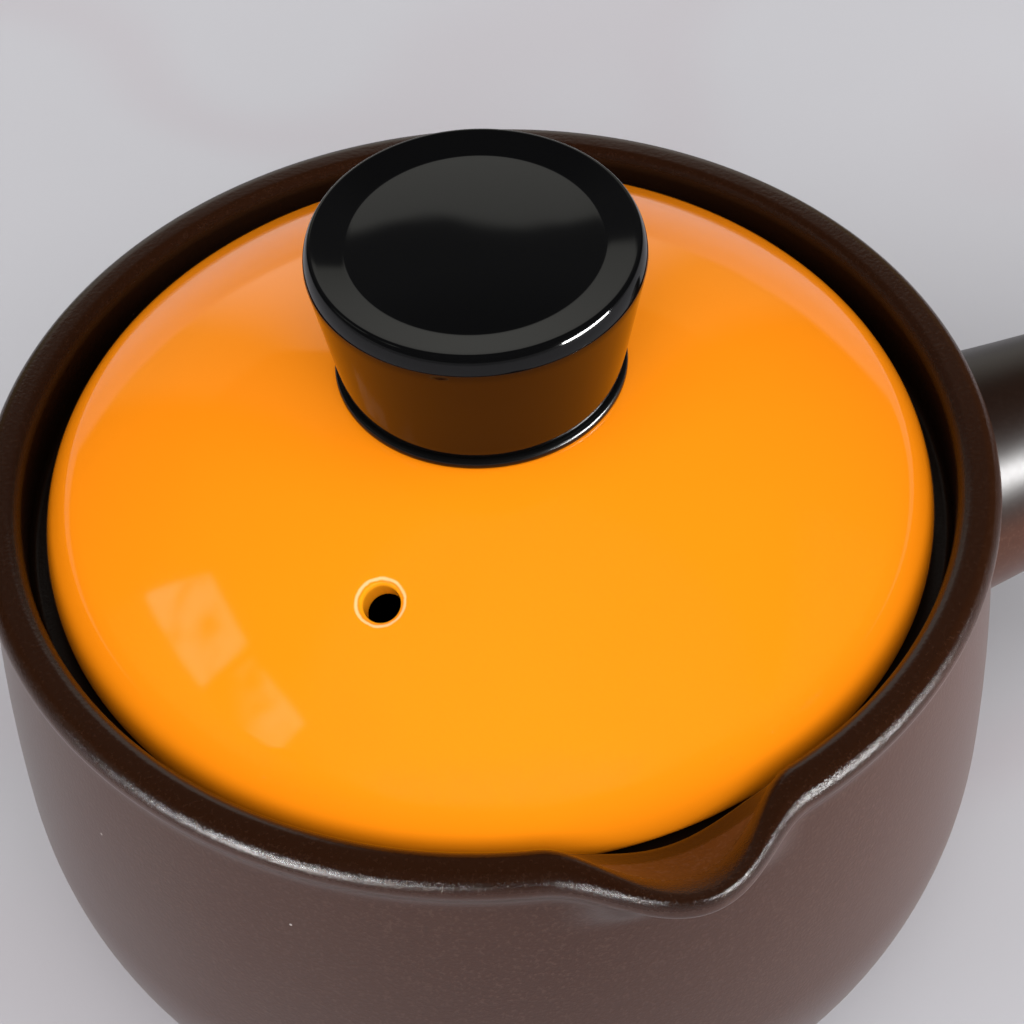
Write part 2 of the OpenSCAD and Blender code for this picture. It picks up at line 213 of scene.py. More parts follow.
def make_piece(name, grid, ring=False):
    """Mesh object of a grid of points in millimetres, with smooth faces turned outwards.

    Columns close on themselves. Rows close too if ring is true; otherwise the first and the last row
    each lie in one point, which becomes a pole.
    """
    columns, rows = grid.shape[:2]
    if ring:
        points = grid.reshape(-1, 3)
        index = np.arange(columns * rows).reshape(columns, rows)
        here, beside = index, np.roll(index, -1, 0)
        quads = np.stack([here, beside, np.roll(beside, -1, 1), np.roll(here, -1, 1)], -1).reshape(-1, 4)
        fans = np.zeros((0, 3), int)
    else:
        inner = grid[:, 1:-1]
        points = np.concatenate([inner.reshape(-1, 3), grid[:1, 0], grid[:1, -1]])
        index = np.arange(columns * (rows - 2)).reshape(columns, rows - 2)
        beside = np.roll(index, -1, 0)
        quads = np.stack([index[:, :-1], beside[:, :-1], beside[:, 1:], index[:, 1:]], -1).reshape(-1, 4)
        first, last = len(points) - 2, len(points) - 1
        fans = np.concatenate([
            np.stack([np.full(columns, first), beside[:, 0], index[:, 0]], -1),
            np.stack([np.full(columns, last), index[:, -1], beside[:, -1]], -1)])
    corners = np.concatenate([quads[:, :3], quads[:, [0, 2, 3]], fans])
    a, b, c = (points[corners[:, k]] for k in range(3))
    if np.einsum("ij,ij->", a, np.cross(b, c)) < 0:
        quads, fans = quads[:, ::-1], fans[:, ::-1]
    mesh = bpy.data.meshes.new(name)
    mesh.from_pydata((points * MM).tolist(), [], quads.tolist() + fans.tolist())
    mesh.polygons.foreach_set("use_smooth", np.ones(len(mesh.polygons), bool))
    mesh.update()
    piece = bpy.data.objects.new(name, mesh)
    bpy.context.scene.collection.objects.link(piece)
    return piece


# Pot

def wall_radius(height):
    """Outer radius of the pot at a height: a circle below the belly, a parabola from there to the neck."""
    below = LOWER_CENTRE[0] + np.sqrt(np.maximum(BELLY_ROUND ** 2 - (height - BELLY_HEIGHT) ** 2, 0))
    rise = (height - BELLY_HEIGHT) / (NECK[1] - BELLY_HEIGHT)
    return np.where(height < BELLY_HEIGHT, below, BELLY_RADIUS + (NECK[0] - BELLY_RADIUS) * rise ** 2)


def wall_side(first, last, inset, steps):
    """Points up or down the wall between two heights."""
    height = np.linspace(first, last, steps + 1)
    return np.stack([wall_radius(height) - inset, height], 1)


def pot_sections():
    """Section of the pot from the middle of the foot to the middle of the floor, plain and at the spout.

    At the spout the outside moves out by the reach times a soft step of height, the lip moves out and thins
    in proportion to the distance across it, and a strip at the top of the gallery wall spreads out into a
    channel that rolls over from the lip and ends in a soft brink.
    """
    foot_reach = BELLY_ROUND - FOOT_ROUND
    foot_out = math.sqrt(foot_reach ** 2 - (BELLY_HEIGHT - FOOT_ROUND) ** 2)
    foot_centre = (LOWER_CENTRE[0] + foot_out, FOOT_ROUND)
    foot_turn = math.degrees(math.atan2(FOOT_ROUND - BELLY_HEIGHT, foot_out))
    floor_reach = BELLY_ROUND - WALL - FLOOR_ROUND
    floor_height = FLOOR + FLOOR_ROUND
    floor_out = math.sqrt(floor_reach ** 2 - (BELLY_HEIGHT - floor_height) ** 2)
    floor_centre = (LOWER_CENTRE[0] + floor_out, floor_height)
    floor_turn = math.degrees(math.atan2(floor_height - BELLY_HEIGHT, floor_out))

    low = np.concatenate([
        line((0, 0), (foot_centre[0], 0), 5),
        arc(foot_centre, FOOT_ROUND, -90, foot_turn, 14)[1:],
        arc(LOWER_CENTRE, BELLY_ROUND, foot_turn, 0, 26)[1:]])
    lip_turn = math.radians(LIP_TURN)
    lip_start = LIP_CENTRE + LIP_ROUND * np.array([math.cos(lip_turn), -math.sin(lip_turn)])
    neck_corner = (NECK[0], lip_start[1] - (lip_start[0] - NECK[0]) / math.tan(lip_turn))
    outside = np.concatenate([
        wall_side(BELLY_HEIGHT, NECK[1], 0, 40)[1:],
        bend(NECK, neck_corner, lip_start, 10)[1:],
        arc(LIP_CENTRE, LIP_ROUND, -LIP_TURN, 0, 8)[1:]])
    lip = np.concatenate([
        arc(LIP_CENTRE, LIP_ROUND, 0, 90, 18)[1:],
        [(GALLERY_RADIUS + LIP_EDGE_ROUND, POT_HEIGHT)]])
    lip_edge = arc((GALLERY_RADIUS + LIP_EDGE_ROUND, EDGE_FOOT), LIP_EDGE_ROUND, 90, 180, 14)[1:]
    gallery = np.concatenate([
        line((GALLERY_RADIUS, EDGE_FOOT), (GALLERY_RADIUS, EDGE_FOOT - 0.9), 24)[1:],
        line((GALLERY_RADIUS, EDGE_FOOT - 0.9), (GALLERY_RADIUS, LEDGE_CORNER), 8)[1:]])
    nose = (LEDGE_RADIUS, LEDGE_TOP - LEDGE_NOSE)
    slope_foot = LEDGE_TOP - LEDGE_NOSE - LEDGE_SLOPE
    inner_wall = wall_side(slope_foot, BELLY_HEIGHT, WALL, 20)
    inside = np.concatenate([
        arc((GALLERY_RADIUS - LEDGE_ROUND, LEDGE_CORNER), LEDGE_ROUND, 0, -90, 6)[1:],
        arc((LEDGE_RADIUS + LEDGE_ROUND, LEDGE_TOP - LEDGE_ROUND), LEDGE_ROUND, 90, 180, 7),
        eased([(LEDGE_RADIUS, LEDGE_TOP - LEDGE_ROUND - 0.2), nose, inner_wall[0], inner_wall[6]],
              (1.2, 4.0), 6)[1:],
        inner_wall[7:],
        arc(LOWER_CENTRE, BELLY_ROUND - WALL, 0, floor_turn, 18)[1:],
        arc(floor_centre, FLOOR_ROUND, floor_turn, -90, 14)[1:],
        line((floor_centre[0], FLOOR), (0, FLOOR), 6)[1:]])

    inner_reach = SPOUT_REACH + LIP_WIDTH - SPOUT_LIP_WIDTH
    share = soft_step((outside[:, 1] - SPOUT_START) / (LIP_CENTRE[1] - SPOUT_START))[:, None]
    outside_out = outside + share * np.array([SPOUT_REACH, -SPOUT_DROP])
    across = (MOUTH_RADIUS - lip[:, 0]) / LIP_WIDTH
    lip_out = np.stack([
        lip[:, 0] + SPOUT_REACH + (inner_reach - SPOUT_REACH) * across, lip[:, 1] - SPOUT_DROP], 1)
    brow = lip_out[-1] - np.array([0.9, 0])
    brink = np.array([GALLERY_RADIUS, CHANNEL_FOOT])
    down = (brink - brow) / np.linalg.norm(brink - brow)
    edge_out = bend(lip_out[-1], brow, brow + 3.0 * down, 14)[1:]
    gallery_out = np.concatenate([
        line(edge_out[-1], brink - 1.6 * down, 16)[1:],
        bend(brink - 1.6 * down, brink, brink - np.array([0, 1.0]), 8)[1:],
        line(brink - np.array([0, 1.0]), (GALLERY_RADIUS, LEDGE_CORNER), 8)[1:]])
    plain = np.concatenate([low, outside, lip, lip_edge, gallery, inside])
    spout = np.concatenate([low, outside_out, lip_out, edge_out, gallery_out, inside])
    return plain, spout


def pot_grid():
    """The plain section carried round, swollen towards the spout's section by a raised cosine of angle."""
    plain, spout = pot_sections()
    half = SPOUT_ANGLE / 2
    angle = np.concatenate([
        np.linspace(-half, half, 64, endpoint=False),
        np.linspace(half, 360 - half, 250, endpoint=False)])
    swell = np.where(np.abs(angle) < half, (1 + np.cos(np.radians(angle * 360 / SPOUT_ANGLE))) / 2, 0)
    section = plain[None] + swell[:, None, None] * (spout - plain)[None]
    turn = np.radians(angle)[:, None]
    return np.stack([section[..., 0] * np.sin(turn), -section[..., 0] * np.cos(turn), section[..., 1]], -1)


# Handle

def handle_radius(distance):
    """Radius along the handle: a power curve from the root to the waist, then a soft step to the swelling."""
    end = HANDLE_LENGTH - END_RADIUS
    to_waist = np.clip(1 - distance / WAIST_DISTANCE, 0, None) ** ROOT_FLARE
    to_end = soft_step((distance - WAIST_DISTANCE) / (end - WAIST_DISTANCE))
    return np.where(
        distance < WAIST_DISTANCE,
        WAIST_RADIUS + (ROOT_RADIUS - WAIST_RADIUS) * to_waist,
        WAIST_RADIUS + (END_RADIUS - WAIST_RADIUS) * to_end)


def handle_grid():
    """Hollow handle about its tilted axis. Each column starts in the wall, sweeps out of it on a luted bend,
    runs to the tip, goes in through the firing vent and comes back along the inside to the wall."""
    columns = 160
    turn = np.linspace(0, 2 * np.pi, columns, endpoint=False)
    start = np.array([float(wall_radius(np.array(HANDLE_HEIGHT))), 0, HANDLE_HEIGHT])
    axis = np.array([math.cos(HANDLE_TILT), 0, math.sin(HANDLE_TILT)])
    upward = np.array([-math.sin(HANDLE_TILT), 0, math.cos(HANDLE_TILT)])
    spoke = np.cos(turn)[:, None] * np.array([0, 1.0, 0]) + np.sin(turn)[:, None] * upward

    def at(distance, radius):
        return start + distance[..., None] * axis + radius[..., None] * spoke[:, None]

    def beyond_wall(points):
        return np.hypot(points[..., 0], points[..., 1]) - wall_radius(points[..., 2])

    def meets_wall(inset):
        near, far = np.full((columns, 1), -20.0), np.full((columns, 1), 25.0)
        for _ in range(40):
            middle = (near + far) / 2
            outside = beyond_wall(at(middle, handle_radius(middle) - inset)) > 0
            near, far = np.where(outside, near, middle), np.where(outside, middle, far)
        return (near + far) / 2

    root = meets_wall(0)
    joint = at(root, handle_radius(root))[:, 0]
    leave = at(root + LUTING, handle_radius(root + LUTING))[:, 0]
    land = joint + LUTING * spoke
    depth = beyond_wall(land)[:, None] + 0.15
    outwards = land * np.array([1, 1, 0])
    land = land - depth * outwards / np.linalg.norm(outwards, axis=1, keepdims=True)
    luted = bend(land, joint, leave, 12)

    straight = 30.0
    share = np.linspace(0, 1, 21)[None, 1:]
    distance = (root + LUTING) * (1 - share) + straight * share
    near_part = at(distance, handle_radius(distance))
    end = HANDLE_LENGTH - END_RADIUS
    inner_end = END_RADIUS - HANDLE_WALL
    side = np.linspace(straight, end, 45)[1:]
    tip_angle = math.degrees(math.acos((HANDLE_VENT_RADIUS + 1.2) / END_RADIUS))
    tip = arc((0, end), END_RADIUS, 0, tip_angle, 22)[1:]
    hole_top = end + math.sqrt(END_RADIUS ** 2 - HANDLE_VENT_RADIUS ** 2)
    hole_foot = end + math.sqrt(inner_end ** 2 - HANDLE_VENT_RADIUS ** 2)
    hole = np.concatenate([
        bend(tip[-1], (HANDLE_VENT_RADIUS, hole_top), (HANDLE_VENT_RADIUS, hole_top - 1.4), 7)[1:],
        line((HANDLE_VENT_RADIUS, hole_top - 1.4), (HANDLE_VENT_RADIUS, hole_foot), 3)[1:]])
    inner_tip = arc((0, end), inner_end, math.degrees(math.acos(HANDLE_VENT_RADIUS / inner_end)), 0, 12)[1:]
    back = np.linspace(end, straight, 20)[1:]
    profile = np.concatenate([
        np.stack([handle_radius(side), side], 1), tip, hole, inner_tip,
        np.stack([handle_radius(back) - HANDLE_WALL, back], 1)])
    far_part = at(np.repeat(profile[None, :, 1], columns, 0), np.repeat(profile[None, :, 0], columns, 0))
    inner_root = meets_wall(HANDLE_WALL)
    share = np.linspace(0, 1, 9)[None, 1:]
    distance = straight * (1 - share) + (inner_root - 0.15) * share
    inner_part = at(distance, handle_radius(distance) - HANDLE_WALL)
    return np.concatenate([luted, near_part, far_part, inner_part], 1)


# Lid

def lid_grid():
    """Lid with its steam vent. Each column starts at the foot of the vent, eases over its edge, crosses the
    dome on a great circle, goes round the edge and the skirt, and comes back under the dome to the vent."""
    columns = 380
    turn = np.linspace(0, 2 * np.pi, columns, endpoint=False)
    upward = np.array([
        -math.cos(VENT_TILT) * math.cos(VENT_DIRECTION),
        -math.cos(VENT_TILT) * math.sin(VENT_DIRECTION),
        math.sin(VENT_TILT)])
    sideways = np.cross(VENT_AXIS, upward)
    spoke = np.cos(turn)[:, None] * upward + np.sin(turn)[:, None] * sideways

    ease = VENT_RADIUS + VENT_EASE
    top = math.sqrt(DOME_ROUND ** 2 - ease ** 2)
    inner_ease = VENT_RADIUS + 0.8
    foot = math.sqrt(INNER_DOME_ROUND ** 2 - inner_ease ** 2)
    hole = np.concatenate([
        arc((inner_ease, foot + 0.8), 0.8, -90, -180, 6),
        line((VENT_RADIUS, foot + 0.8), (VENT_RADIUS, top - VENT_EASE), 4)[1:],
        arc((ease, top - VENT_EASE), VENT_EASE, 180, 90, 12)[1:]])
    vent = hole[None, :, 1, None] * VENT_AXIS + hole[None, :, 0, None] * spoke[:, None]

    level, lean = math.cos(VENT_TILT), math.sin(VENT_TILT) * np.cos(turn)
    reach = np.arctan2(lean, level) + np.arccos(math.cos(DOME_ANGLE) / np.hypot(level, lean))
    start = math.asin(ease / DOME_ROUND)
    share = (np.linspace(0, 1, 131)[1:] ** 1.35)[None]
    angle = start + (reach[:, None] - start) * share
    dome = DOME_ROUND * (np.cos(angle)[..., None] * VENT_AXIS + np.sin(angle)[..., None] * spoke[:, None])
    dome[..., 2] = np.minimum(dome[..., 2], LAND_TOP - DOME_CENTRE)
    around = np.arctan2(dome[:, -1, 1], dome[:, -1, 0])[:, None]

    skirt_bottom = LEDGE_TOP - SKIRT_DEPTH
    inner_radius = SKIRT_RADIUS - SKIRT_THICKNESS
    inner_angle = math.asin((inner_radius - 3) / INNER_DOME_ROUND)
    inner_edge = (inner_radius - 3, DOME_CENTRE + INNER_DOME_ROUND * math.cos(inner_angle))
    corner_height = DOME_CENTRE + math.sqrt(INNER_DOME_ROUND ** 2 - inner_radius ** 2)
    edge = np.concatenate([
        arc(SHOULDER_CENTRE, LID_SHOULDER_ROUND, 90 - math.degrees(DOME_ANGLE), 0, 12)[1:],
        arc((LID_RADIUS - LID_EDGE_HEIGHT, LEDGE_TOP + LID_EDGE_HEIGHT), LID_EDGE_HEIGHT, 0, -90, 10)[1:],
        line((LID_RADIUS - LID_EDGE_HEIGHT, LEDGE_TOP), (SKIRT_RADIUS + 1, LEDGE_TOP), 3)[1:],
        bend((SKIRT_RADIUS + 1, LEDGE_TOP), (SKIRT_RADIUS, LEDGE_TOP), (SKIRT_RADIUS, LEDGE_TOP - 1), 5)[1:],
        arc((SKIRT_RADIUS - SKIRT_ROUND, skirt_bottom + SKIRT_ROUND), SKIRT_ROUND, 0, -90, 7),
        arc((inner_radius + SKIRT_ROUND, skirt_bottom + SKIRT_ROUND), SKIRT_ROUND, -90, -180, 7),
        bend((inner_radius, corner_height - 3), (inner_radius, corner_height), inner_edge, 7)])
    rim = np.stack([
        edge[None, :, 0] * np.cos(around), edge[None, :, 0] * np.sin(around),
        edge[None, :, 1] - DOME_CENTRE + 0 * around], -1)

    outer_end = np.concatenate([
        math.sin(inner_angle) * np.cos(around), math.sin(inner_angle) * np.sin(around),
        math.cos(inner_angle) + 0 * around], 1)[:, None]
    vent_end = (vent[:, :1]) / np.linalg.norm(vent[:, :1], axis=-1, keepdims=True)
    share = (1 - np.linspace(1, 0, 56)[1:-1] ** 1.3)[None, :, None]
    under = (1 - share) * outer_end + share * vent_end
    under = INNER_DOME_ROUND * under / np.linalg.norm(under, axis=-1, keepdims=True)
    radius = np.hypot(under[..., 0], under[..., 1])
    pad = soft_step((PAD_RADIUS + 1.2 - radius) / 2.4)
    under[..., 2] += pad * (PAD_BOTTOM - DOME_CENTRE - under[..., 2])
    return np.concatenate([vent, dome, rim, under], 1) + np.array([0, 0, DOME_CENTRE])


# Knob and fastenings

def knob_profile():
    """Knob from the middle of its domed top, through the groove, up the sloping rim and over its edge, down
    the side and up into its bores."""
    dome_round = (GROOVE_RADIUS ** 2 + GROOVE_DEPTH ** 2) / (2 * GROOVE_DEPTH)
    groove = np.array([GROOVE_RADIUS, KNOB_TOP - GROOVE_DEPTH])
    crest = np.array([KNOB_RADIUS - KNOB_EDGE_WIDTH, KNOB_TOP])
    edge_foot = np.array([KNOB_RADIUS, KNOB_TOP - KNOB_EDGE_HEIGHT])
    dome_turn = math.degrees(math.acos((GROOVE_RADIUS - 0.25) / dome_round))
    dome = arc((0, KNOB_TOP - dome_round), dome_round, 90, dome_turn, 26)
    up_rim = (crest - groove) / np.linalg.norm(crest - groove)
    rim_start, rim_end = groove + 0.25 * up_rim, crest - 0.5 * up_rim
    edge = bend(edge_foot, edge_foot + np.array([-0.08, 1.9]), crest - np.array([0, 0.05]), 14)[::-1]
    crown = np.concatenate([
        bend(dome[-1], groove, rim_start, 6)[1:],
        line(rim_start, rim_end, 8)[1:],
        bend(rim_end, crest, edge[2], 6)[1:],
        edge[3:]])
    hollow_top = KNOB_TOP - GROOVE_DEPTH - KNOB_CROWN
    inner = KNOB_FOOT_RADIUS - KNOB_SHELL
    bore = INSERT_RADIUS + INSERT_GAP
    flange = FLANGE_RADIUS + INSERT_GAP
    hole_top = SCREW_END + 1.0
    side = eased(
        [crown[-1], (KNOB_FOOT_RADIUS, RING_TOP), (inner, RING_TOP), (inner, hollow_top),
         (BOSS_RADIUS, hollow_top), (BOSS_RADIUS, BOSS_BOTTOM),
         (flange, BOSS_BOTTOM), (flange, FLANGE_TOP), (bore, FLANGE_TOP), (bore, INSERT_TOP),
         (SCREW_HOLE, INSERT_TOP), (SCREW_HOLE, hole_top), (0, hole_top)],
        (0.6, 0.4, 1.5, 1.5, 0.4, 0.2, 0.2, 0.2, 0.2, 0.2, 0.2), 4)
    steps = np.linspace(0, 1, 13)[1:-1, None]
    flank = crown[-1] + steps * (side[1] - crown[-1])
    return np.concatenate([dome, crown, flank, side[1:]])


def flat_ring(outer, inner, bottom, top, ease):
    """Section of a flat ring with eased edges, closed on itself."""
    middle = (outer + inner) / 2
    corners = [
        (middle, bottom), (outer, bottom), (outer, top), (inner, top), (inner, bottom), (middle, bottom)]
    return eased(corners, (ease,) * 4, 5)[:-1]


def insert_profile():
    """Section of the flanged insert, closed on itself, with eased edges."""
    middle = (FLANGE_RADIUS + SCREW_HOLE) / 2
    corners = [
        (middle, BOSS_BOTTOM), (FLANGE_RADIUS, BOSS_BOTTOM), (FLANGE_RADIUS, FLANGE_TOP),
        (INSERT_RADIUS, FLANGE_TOP), (INSERT_RADIUS, INSERT_TOP), (SCREW_HOLE, INSERT_TOP),
        (SCREW_HOLE, BOSS_BOTTOM), (middle, BOSS_BOTTOM)]
    return eased(corners, (0.2,) * 6, 3)[:-1]


def screw_grid():
    """Screw about the Z axis: rounded shank end, shank, domed head, and a cross recess sunk by the product of
    soft steps across and along each arm."""
    head_bottom = WASHER_BOTTOM - HEAD_HEIGHT
    shank = eased(
        [(0, SCREW_END), (SCREW_RADIUS, SCREW_END), (SCREW_RADIUS, WASHER_BOTTOM),
         (HEAD_RADIUS, WASHER_BOTTOM), (HEAD_RADIUS, WASHER_BOTTOM - 0.6)], (0.5, 0.15, 0.3), 4)
    steps = np.linspace(0, 1, 9)[1:-1, None]
    upper = np.concatenate([shank[:6], shank[5] + steps * (shank[6] - shank[5]), shank[6:]])
    dome = bend((HEAD_RADIUS, WASHER_BOTTOM - 0.6), (HEAD_RADIUS, head_bottom + 0.25),
                (HEAD_RADIUS - 1.6, head_bottom + 0.06), 9)[1:]
    face = line((HEAD_RADIUS - 1.6, head_bottom + 0.06), (0, head_bottom), 26)[1:]
    grid = turned(np.concatenate([upper, dome, face]), 144)
    x, y = np.abs(grid[..., 0]), np.abs(grid[..., 1])
    arm, half = RECESS_LENGTH / 2, RECESS_WIDTH / 2
    along_x = soft_step((half + 0.1 - y) / 0.2) * soft_step((arm + 0.1 - x) / 0.2)
    along_y = soft_step((half + 0.1 - x) / 0.2) * soft_step((arm + 0.1 - y) / 0.2)
    on_head = grid[..., 2] < WASHER_BOTTOM - 1.0
    grid[..., 2] += np.where(on_head, RECESS_DEPTH * np.maximum(along_x, along_y), 0)
    return grid


# Finishes

class Shade:
    """A number in a finish: a socket whose operators add Math nodes."""

    def __init__(self, socket):
        self.socket = socket

    def math(self, operation, *terms):
        tree = self.socket.id_data
        node = tree.nodes.new("ShaderNodeMath")
        node.operation = operation
        for slot, term in zip(node.inputs, terms):
            if isinstance(term, Shade):
                tree.links.new(term.socket, slot)
            else:
                slot.default_value = term
        return Shade(node.outputs[0])

    def __add__(self, other):
        return self.math("ADD", self, other)

    def __sub__(self, other):
        return self.math("SUBTRACT", self, other)

    def __rsub__(self, other):
        return self.math("SUBTRACT", other, self)

    def __mul__(self, other):
        return self.math("MULTIPLY", self, other)

    def __truediv__(self, other):
        return self.math("DIVIDE", self, other)

    def __rtruediv__(self, other):
        return self.math("DIVIDE", other, self)

    __radd__ = __add__
    __rmul__ = __mul__

    def larger(self, other):
        return self.math("MAXIMUM", self, other)

    def size(self):
        return self.math("ABSOLUTE", self)

    def root(self):
        return self.math("SQRT", self)


class Finish:
    """Node tree of a material or of the world, with the coordinates that its patterns read."""

    def __init__(self, owner, coordinates="Object"):
        owner.use_nodes = True
        self.owner, self.tree = owner, owner.node_tree
        self.tree.nodes.clear()
        self.place = self.add("ShaderNodeTexCoord", {}, {}).outputs[coordinates]

    def add(self, kind, settings, sockets):
        """A node of a kind: its settings first, then the values or links of its sockets."""
        node = self.tree.nodes.new(kind)
        for key, value in settings.items():
            setattr(node, key, value)
        for key, value in sockets.items():
            value = value.socket if isinstance(value, Shade) else value
            if isinstance(value, bpy.types.NodeSocket):
                self.tree.links.new(value, node.inputs[key])
            else:
                node.inputs[key].default_value = value
        return node

    def vector(self, operation, *terms):
        """A Vector Math node of an operation on vectors."""
        return self.add("ShaderNodeVectorMath", {"operation": operation}, dict(enumerate(terms)))

    def noise(self, scale, detail=2.0, roughness=0.5):
        """Cloudy pattern about 0.5, with so many clouds to the metre."""
        node = self.add("ShaderNodeTexNoise", {}, {
            "Vector": self.place, "Scale": scale, "Detail": detail, "Roughness": roughness})
        return Shade(node.outputs["Fac"])

    def specks(self, scale, size, share):
        """Round specks of a size in a share of the cells of a Voronoi pattern."""
        cells = self.add("ShaderNodeTexVoronoi", {}, {"Vector": self.place, "Scale": scale})
        chance = self.add("ShaderNodeSeparateColor", {}, {"Color": cells.outputs["Color"]})
        near = self.step(Shade(cells.outputs["Distance"]), size, size * 0.5)
        return near * self.step(Shade(chance.outputs["Red"]), 1 - share, 1 - share + 0.01)

    def step(self, value, low, high):
        """Smooth step of a value from 0 at low to 1 at high."""
        node = self.add("ShaderNodeMapRange", {"interpolation_type": "SMOOTHSTEP"}, {
            "Value": value, "From Min": low, "From Max": high})
        return Shade(node.outputs["Result"])

    def mix(self, share, first, second):
        """Colour between two colours."""
        return self.add("ShaderNodeMix", {"data_type": "RGBA"}, {0: share, 6: first, 7: second}).outputs[2]

    def heights(self):
        """Height above the table and distance from the pot's axis, in millimetres."""
        parts = self.add("ShaderNodeSeparateXYZ", {}, {"Vector": self.place})
        flat = self.vector("MULTIPLY", self.place, (1, 1, 0))
        radius = self.vector("LENGTH", flat.outputs[0])
        return Shade(parts.outputs["Z"]) / MM, Shade(radius.outputs["Value"]) / MM

    def bump(self, height, distance, normal=None):
        """Normal of a surface raised by a height times a distance, on top of another normal if given."""
        sockets = {"Height": height, "Distance": distance, "Strength": 1.0}
        if normal is not None:
            sockets["Normal"] = normal
        return self.add("ShaderNodeBump", {}, sockets).outputs["Normal"]

    def surface(self, sockets):
        """The material, with a Principled shader of these sockets."""
        shader = self.add("ShaderNodeBsdfPrincipled", {}, sockets)
        self.add("ShaderNodeOutputMaterial", {}, {"Surface": shader.outputs[0]})
        return self.owner


def new_finish(name):
    return Finish(bpy.data.materials.new(name))


def rgb(red, green, blue):
    return (red, green, blue, 1.0)


def brown_glaze():
    """Brown glaze with a fine grain: satin on the outside, darker and glossier on the lip and the inside,
    pitted on the rounding of the lip, and bare clay under the foot. Painted shade makes the top of the handle
    darker and glossier, and the lid's ledge nearly black."""
    finish = new_finish("brown_glaze")
    height, radius = finish.heights()
    cloud = finish.noise(28.0, 3.0)
    grain = finish.noise(1500.0, 2.0, 0.6)
    pitted = finish.noise(4200.0, 2.0, 0.6)
    wave = (finish.noise(60.0, 2.0) - 0.5) * 1.2
    lip = finish.step(height + wave, POT_HEIGHT - 3.0, POT_HEIGHT - 0.8)
    round_edge = lip * finish.step(height, POT_HEIGHT - 0.1, POT_HEIGHT - 0.5)
    in_wall = BELLY_RADIUS - WALL + 1.3 - (FLOOR + 23.0 - height).larger(0.0) * 0.35
    inside = finish.step(in_wall - radius, -0.4, 0.4) * finish.step(height, FLOOR - 0.6, FLOOR - 0.2)
    on_handle = finish.step(radius, BELLY_RADIUS + 1.6, BELLY_RADIUS + 2.6)
    on_handle = on_handle * finish.step(height, POT_HEIGHT - 8.0, POT_HEIGHT - 10.0)
    # painted shade: above its axis the handle takes the darker shiny colour, as if shaded from above
    above_axis = height - HANDLE_HEIGHT - (radius - BELLY_RADIUS) * math.tan(HANDLE_TILT)
    shaded_handle_top = on_handle * finish.step(above_axis, 4.4, 11.9)
    gloss = lip.larger(inside).larger(shaded_handle_top)
    # painted shade: the ledge and the foot of the gallery wall, in the gap under the lid's edge
    seat = finish.step(radius, GALLERY_RADIUS + 1.0, GALLERY_RADIUS - 0.2)
    seat = seat * finish.step(radius, LEDGE_RADIUS - 5.0, LEDGE_RADIUS - 3.5)
    seat = seat * finish.step(height, LEDGE_TOP - 6.7, LEDGE_TOP - 4.7)
    bare = finish.step(height, 1.2, 0.4)

    satin = finish.mix(cloud, rgb(0.0380, 0.0112, 0.0046), rgb(0.0440, 0.0137, 0.0058))
    satin = finish.mix(finish.step(grain, 0.50, 0.74) * 0.30, satin, rgb(0.105, 0.056, 0.040))
    satin = finish.mix(finish.step(grain, 0.42, 0.22) * 0.45, satin, rgb(0.028, 0.0098, 0.0052))
    shiny = finish.mix(cloud, rgb(0.0135, 0.0042, 0.0015), rgb(0.0162, 0.0053, 0.0020))
    shiny = finish.mix(finish.step(grain, 0.50, 0.74) * 0.2, shiny, rgb(0.040, 0.018, 0.010))
    body = finish.mix(gloss, satin, shiny)
    body = finish.mix(finish.specks(190.0, 0.055, 0.05) * 0.7, body, rgb(0.55, 0.50, 0.46))
    # painted shade: nearly black on the ledge, and darker on the top of the handle
    body = finish.mix((seat * 0.85).larger(shaded_handle_top * 0.6), body, rgb(0.0040, 0.0022, 0.0014))
    clay = finish.mix(finish.noise(420.0, 3.0), rgb(0.19, 0.105, 0.065), rgb(0.27, 0.165, 0.105))
    colour = finish.mix(bare, body, clay)
    roughness = 0.30 - 0.13 * gloss + 0.16 * shaded_handle_top + 0.06 * grain + 0.12 * seat + 0.4 * bare
    fine = finish.bump(0.43 * grain * (1 - on_handle) + pitted * round_edge, 0.00009)
    normal = finish.bump(finish.noise(210.0, 2.0), 0.00002, fine)
    return finish.surface({
        "Base Color": colour, "Roughness": roughness, "Normal": normal, "IOR": 1.36,
        "Coat Weight": 0.6 * (1 - gloss), "Coat Roughness": 0.45, "Coat IOR": 1.2})


